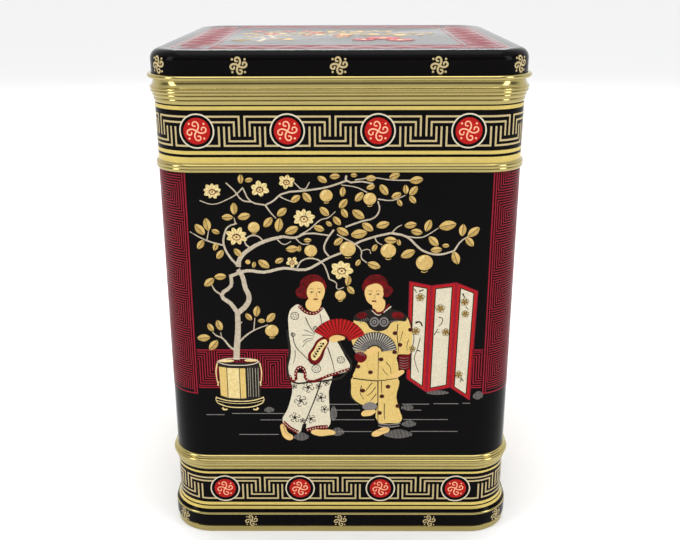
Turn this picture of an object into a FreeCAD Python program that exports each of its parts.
"""Square slip-lid canister of tinplate with rounded upright corners.

Three sheets make it: a lid that lifts straight off, a wall rolled into beads, ribs, a neck and a
plinth, and a countersunk bottom whose rim is seamed round the foot of the wall.

Frame: millimetres, +Z up, origin at the middle of the foot, front of the tin towards -Y.
"Out" always means how far a surface stands outside the flat body face.
"""
import FreeCAD, Part
import os
import Sketcher

Vector = FreeCAD.Vector
Placement = FreeCAD.Placement
Rotation = FreeCAD.Rotation

SIZES = {
    # the body
    "body_width": 133.0,
    "total_height": 190.5,
    "corner_radius": 14.7,
    "sheet": 0.3,
    # the lid
    "lid_out": 0.65,
    "lid_edge_radius": 3.6,
    "lid_skirt_height": 10.2,
    "lid_curl_radius": 0.775,
    # the neck that the lid slips over, and the lip turned in round the mouth
    "neck_clearance": 0.25,
    "mouth_ease": 0.1,
    "lip_width": 1.4,
    "hem_radius": 0.6,
    "hem_return": 0.8,
    "cove_height": 2.6,
    "cove_out": 1.15,
    # the belt of beads under the upper band, down from the lid's top, and the ribs over the lower band
    "belt_drop": 39.1,
    "lower_ribs_top": 34.3,
    # the plinth, and the hollow over it
    "plinth_out": 2.0,
    "plinth_foot": 3.25,
    "plinth_top": 8.2,
    "plinth_turn": 0.45,
    "plinth_round": 0.1,
    "hollow_out": 1.65,
    "hollow_foot": 8.85,
    "hollow_top": 13.6,
    # the seam that holds the bottom
    "rim_inset": 0.4,
    "rim_height": 2.4,
    "rim_round": 0.35,
    "seam_play": 0.05,
    "countersink": 2.9,
    "countersink_round": 0.8,
    # how far the swept part of a level sheet reaches in from the body face
    "ring_reach": 6.0,
    # the lock seam down the back
    "lock_width": 6.0,
    "lock_layers": 0.6,
    "lock_margin": 1.0,
    "lock_groove_width": 0.5,
    "lock_groove_depth": 0.12,
}

# Each rib, from the top down: its height, how far out its lower edge stands, and its crown
RIBS = {
    "upper": [(1.1, 1.2, 0.33), (1.35, 0.65, 0.42), (1.45, 0.25, 0.25), (1.5, 0.0, 0.22)],
    "belt": [(1.7, 0.75, 0.5), (1.6, 0.0, 0.5)],
    "lower": [(1.4, 0.7, 0.35), (1.8, 1.0, 0.8), (1.7, 0.35, 0.4), (1.6, 0.0, 0.3)],
}

HALF_TURN = 0.5 ** 0.5
COURSE_EDGES = 9

doc = FreeCAD.newDocument("lithographed_tin")
tin = doc.addObject("Spreadsheet::Sheet", "tin")


# ---- the sheet of sizes, and formulas on it ----

def fill_sheet():
    """Write every driving size into the sheet under its own name."""
    rows = dict(SIZES)
    for group, ribs in RIBS.items():
        for number, sizes in enumerate(ribs, 1):
            for word, size in zip(("height", "out", "crown"), sizes):
                rows[f"{group}_rib{number}_{word}"] = size
    for row, (name, size) in enumerate(rows.items(), 1):
        tin.set(f"A{row}", name)
        tin.set(f"B{row}", str(size))
        tin.setAlias(f"B{row}", name)
    doc.recompute()


def named(formula):
    """Turn a formula on plain names, spaced out, into one on the sheet's cells."""
    return " ".join("tin." + word if word[0].isalpha() else word for word in formula.split())


def at(place):
    """A point of a sketch, from its two formulas."""
    across, along = (float(tin.evalExpression(named(formula))) for formula in place)
    return Vector(across, along, 0)


def out(formula):
    """The across formula of a surface that stands this far outside the body face."""
    return f"body_width / 2 + {formula}"


# ---- lines and sketches ----

class Line:
    """A line of straight runs and arcs, as formulas."""

    def __init__(self, across, along):
        self.places = [(across, along)]
        self.middles = []

    def run(self, across, along):
        """A straight run to the next point."""
        self.middles.append(None)
        self.places.append((across, along))

    def bend(self, middle, across, along):
        """An arc through a middle point to the next point."""
        self.middles.append(middle)
        self.places.append((across, along))

    def quarter(self, across, along, start_upright):
        """A quarter turn to the next point, that starts upright and ends level, or the reverse."""
        last_across, last_along = self.places[-1]
        if start_upright:
            centre = (across, last_along)
            corner = (last_across, along)
        else:
            centre = (last_across, along)
            corner = (across, last_along)
        middle = tuple(f"{inner} + ( {outer} - ( {inner} ) ) * {HALF_TURN}"
                       for inner, outer in zip(centre, corner))
        self.bend(middle, across, along)

    def closed_with(self, other):
        """The closed line that runs out along this one and back along the other."""
        whole = Line(*self.places[0])
        whole.places = self.places + other.places[::-1] + self.places[:1]
        whole.middles = self.middles + [None] + other.middles[::-1] + [None]
        return whole

    def curves(self):
        """The line's runs and arcs at the sheet's present sizes."""
        points = [at(place) for place in self.places]
        return [Part.LineSegment(first, last) if middle is None else Part.Arc(first, at(middle), last)
                for first, middle, last in zip(points, self.middles, points[1:])]


def sheet_section(name, profile):
    """The upright cut through a rolled sheet, between the lines of its two faces."""
    section = doc.addObject("Part::Feature", name)
    outline = profile("0").closed_with(profile("sheet"))
    section.Shape = Part.Face(Part.Wire([curve.toShape() for curve in outline.curves()]))
    section.Placement = Placement(Vector(0, 0, 0), Rotation(Vector(1, 0, 0), 90))
    return section


def tie(sketch, geometry, end, place):
    """Hold one point of a sketch at its two formulas."""
    for kind, formula, number in zip(("DistanceX", "DistanceY"), place, at(place)):
        index = sketch.addConstraint(Sketcher.Constraint(kind, -1, 1, geometry, end, number))
        sketch.setExpression(f"Constraints[{index}]", named(formula))


def draw_level(name, line, level="0"):
    """Sketch a closed line on a level plane, every point tied to the sheet."""
    sketch = doc.addObject("Sketcher::SketchObject", name)
    ends = []
    for curve, middle in zip(line.curves(), line.middles):
        index = sketch.addGeometry(curve, False)
        turned = middle is not None and curve.StartPoint != sketch.Geometry[index].StartPoint
        ends.append((index, 2, 1) if turned else (index, 1, 2))
    for number, (index, near, far) in enumerate(ends):
        before, _, before_far = ends[number - 1]
        sketch.addConstraint(Sketcher.Constraint("Coincident", before, before_far, index, near))
        tie(sketch, index, near, line.places[number])
    for (index, near, far), middle in zip(ends, line.middles):
        if middle is not None:
            marker = sketch.addGeometry(Part.Point(at(middle)), True)
            tie(sketch, marker, 1, middle)
            sketch.addConstraint(Sketcher.Constraint("PointOnObject", marker, 1, index))
    sketch.setExpression("Placement.Base.z", named(level))
    return sketch


def rounded_square(half, corner):
    """A closed line with rounded corners that starts in the middle of its +X side."""
    flat = f"{half} - {corner}"
    bulge = f"{half} - {corner} * {1 - HALF_TURN}"
    minus_half, minus_flat, minus_bulge = (f"0 - ( {side} )" for side in (half, flat, bulge))
    square = Line(half, "0")
    square.run(half, flat)
    square.bend((bulge, bulge), flat, half)
    square.run(minus_flat, half)
    square.bend((minus_bulge, bulge), minus_half, flat)
    square.run(minus_half, minus_flat)
    square.bend((minus_bulge, minus_bulge), minus_flat, minus_half)
    square.run(flat, minus_half)
    square.bend((bulge, minus_bulge), half, minus_flat)
    square.run(half, "0")
    return square


# ---- solids ----

def rolled_ring(name, profile):
    """A sheet carried round the tin; profile(inset) gives the line of each of its faces."""
    ring = doc.addObject("Part::Sweep", name)
    ring.Sections = [sheet_section(name + "_section", profile)]
    ring.Spine = (course, [f"Edge{number}" for number in range(1, COURSE_EDGES + 1)])
    ring.Solid = True
    ring.Transition = "Right corner"
    return ring


def level_plate(name, level):
    """The level sheet that fills the middle of a rolled ring."""
    half = "( body_width / 2 - ring_reach )"
    outline = rounded_square(half, "( corner_radius - ring_reach )")
    plate = doc.addObject("Part::Extrusion", name)
    plate.Base = draw_level(name + "_outline", outline, level)
    plate.DirMode = "Custom"
    plate.Dir = Vector(0, 0, 1)
    plate.Solid = True
    plate.setExpression("LengthFwd", "tin.sheet")
    return plate


def block(name, sides, corner):
    """A box from its three sides and its lowest corner, all formulas."""
    box = doc.addObject("Part::Box", name)
    for side, formula in zip(("Length", "Width", "Height"), sides):
        box.setExpression(side, named(formula))
    for axis, formula in zip("xyz", corner):
        box.setExpression(f"Placement.Base.{axis}", named(formula))
    return box


def fused(name, pieces):
    """One solid from pieces that touch."""
    whole = doc.addObject("Part::MultiFuse", name)
    whole.Shapes = pieces
    whole.Refine = True
    return whole


def ribs_height(group):
    """The formula of a cascade's whole height."""
    return " + ".join(f"{group}_rib{number}_height" for number in range(1, len(RIBS[group]) + 1))


def add_ribs(line, group, inset, top_out, top):
    """Walk up a cascade of ribs, from its lowest edge to its top edge."""
    levels = [top]
    edges = [top_out]
    for number in range(1, len(RIBS[group]) + 1):
        levels.append(f"{levels[-1]} - {group}_rib{number}_height")
        edges.append(f"{group}_rib{number}_out")
    for number in range(len(RIBS[group]), 0, -1):
        crown_out = f"( {edges[number - 1]} + {edges[number]} ) / 2 + {group}_rib{number}_crown"
        crown_level = f"{levels[number]} + {group}_rib{number}_height / 2"
        line.bend((out(f"{crown_out} - {inset}"), crown_level),
                  out(f"{edges[number - 1]} - {inset}"), levels[number - 1])


# ---- the three pieces ----

def lid_line(inset):
    """Up the lid: the curl rolled outwards, the skirt, the rounded edge and the flat top."""
    hollow = f"( lid_curl_radius - sheet / 2 + {inset} )"
    curl_out = "lid_out + lid_curl_radius - sheet / 2"
    curl_level = "total_height - lid_skirt_height + lid_curl_radius + sheet / 2"
    line = Line(out(f"{curl_out} - {hollow} / 2"), f"{curl_level} + {hollow} * {0.75 ** 0.5}")
    line.bend((out(f"{curl_out} + {hollow}"), curl_level), out(curl_out), f"{curl_level} - {hollow}")
    line.quarter(out(f"lid_out - {inset}"), curl_level, start_upright=False)
    line.run(out(f"lid_out - {inset}"), "total_height - lid_edge_radius")
    line.quarter(out("lid_out - lid_edge_radius"), f"total_height - {inset}", start_upright=True)
    line.run(out("0 - ring_reach"), f"total_height - {inset}")
    return line


def wall_line(inset):
    """Up the wall: foot, plinth, hollow, ribs, belt, cove, neck, and the hemmed lip of the mouth."""
    foot_out = f"plinth_out - rim_inset - sheet - seam_play - {inset}"
    turn_level = "plinth_foot - plinth_turn"
    foot_turn = "( rim_inset + sheet + seam_play - plinth_turn )"
    line = Line(out(foot_out), "sheet + seam_play")
    line.run(out(foot_out), f"{turn_level} - {foot_turn}")
    line.quarter(out("plinth_out - plinth_turn"), f"{turn_level} + {inset}", start_upright=True)
    line.quarter(out(f"plinth_out - {inset}"), "plinth_foot", start_upright=False)
    line.run(out(f"plinth_out - {inset}"), "plinth_top")
    line.bend((out(f"( plinth_out + hollow_out ) / 2 + plinth_round - {inset}"),
               "( plinth_top + hollow_foot ) / 2 + plinth_round / 2"),
              out(f"hollow_out - {inset}"), "hollow_foot")
    line.bend((out(f"hollow_out / 4 - {inset}"), "( hollow_foot + hollow_top ) / 2"),
              out(f"0 - {inset}"), "hollow_top")
    line.run(out(f"0 - {inset}"), f"lower_ribs_top - ( {ribs_height('lower')} )")
    add_ribs(line, "lower", inset, "0", "lower_ribs_top")
    belt_top = "total_height - belt_drop"
    line.run(out(f"0 - {inset}"), f"{belt_top} - ( {ribs_height('belt')} )")
    add_ribs(line, "belt", inset, "0", belt_top)

    cove_foot = "total_height - lid_skirt_height - cove_height"
    line.run(out(f"0 - {inset}"), f"{cove_foot} - ( {ribs_height('upper')} )")
    add_ribs(line, "upper", inset, "cove_out", cove_foot)
    neck_out = "( lid_out - sheet - neck_clearance )"
    line.bend((out(f"{neck_out} + ( cove_out - {neck_out} ) / 4 - {inset}"), f"{cove_foot} + cove_height / 2"),
              out(f"{neck_out} - {inset}"), f"{cove_foot} + cove_height")

    lip_radius = "( lid_edge_radius - sheet + mouth_ease )"
    mouth = "total_height - sheet"
    line.run(out(f"{neck_out} - {inset}"), f"{mouth} - {lip_radius}")
    line.quarter(out(f"{neck_out} - {lip_radius}"), f"{mouth} - {inset}", start_upright=True)
    lip_out = f"{neck_out} - {lip_radius} - lip_width"
    line.run(out(lip_out), f"{mouth} - {inset}")
    line.bend((out(f"{lip_out} - hem_radius + {inset}"), f"{mouth} - hem_radius"),
              out(lip_out), f"{mouth} - 2 * hem_radius + {inset}")
    line.run(out(f"{lip_out} + hem_return"), f"{mouth} - 2 * hem_radius + {inset}")
    return line


def bottom_line(inset):
    """Across the countersunk panel, down its seat, round the rim and up outside the wall's foot."""
    rim_out = "plinth_out - rim_inset"
    seat_out = f"{rim_out} - 3 * sheet - 2 * seam_play"
    line = Line(out("0 - ring_reach"), f"countersink + {inset}")
    line.run(out(f"{seat_out} - countersink_round"), f"countersink + {inset}")
    line.quarter(out(f"{seat_out} + {inset}"), "countersink - countersink_round", start_upright=False)
    line.run(out(f"{seat_out} + {inset}"), "rim_round")
    line.quarter(out(f"{seat_out} + rim_round"), inset, start_upright=True)
    line.run(out(f"{rim_out} - rim_round"), inset)
    line.quarter(out(f"{rim_out} - {inset}"), "rim_round", start_upright=False)
    line.run(out(f"{rim_out} - {inset}"), "rim_height")
    return line


def make_lid():
    """The drawn lid."""
    return fused("lid", [rolled_ring("lid_ring", lid_line), level_plate("lid_top", "total_height - sheet")])


def make_body_wall():
    """The rolled wall, with the folded lock seam inside its back and the seam's line outside."""
    foot = "lower_ribs_top + lock_margin"
    seam_height = f"total_height - belt_drop - ( {ribs_height('belt')} ) - lock_margin - ( {foot} )"
    back = "body_width / 2"
    strip = block("lock_seam", ("lock_width", "lock_layers", seam_height),
                  ("0 - lock_width / 2", f"{back} - sheet - lock_layers", foot))
    groove = block("lock_groove", ("lock_groove_width", "2 * lock_groove_depth", seam_height),
                   ("lock_width / 2", f"{back} - lock_groove_depth", foot))
    wall = doc.addObject("Part::Cut", "body_wall")
    wall.Base = fused("wall_with_seam", [rolled_ring("wall_ring", wall_line), strip])
    wall.Tool = groove
    return wall


def make_bottom_panel():
    """The countersunk bottom."""
    return fused("bottom_panel", [rolled_ring("bottom_ring", bottom_line),
                                  level_plate("bottom_plate", "countersink")])


def write_parts(pieces):
    """Check every object of the document, then write each piece to its own file."""
    doc.recompute()
    for item in doc.Objects:
        if {"Invalid", "Error"} & set(item.State):
            raise RuntimeError(f"{item.Name} did not build: {item.State}")
    for piece in pieces:
        shape = piece.Shape
        if shape.isNull() or not shape.isValid() or len(shape.Solids) != 1:
            raise RuntimeError(f"{piece.Label} is not one valid solid")
        print(piece.Label, "volume", round(shape.Volume, 1), "faces", len(shape.Faces))
    os.makedirs("parts", exist_ok=True)
    for piece in pieces:
        piece.Shape.exportStep(os.path.join("parts", piece.Label + ".step"))


fill_sheet()
course = draw_level("course", rounded_square("body_width / 2", "corner_radius"))
write_parts([make_lid(), make_body_wall(), make_bottom_panel()])
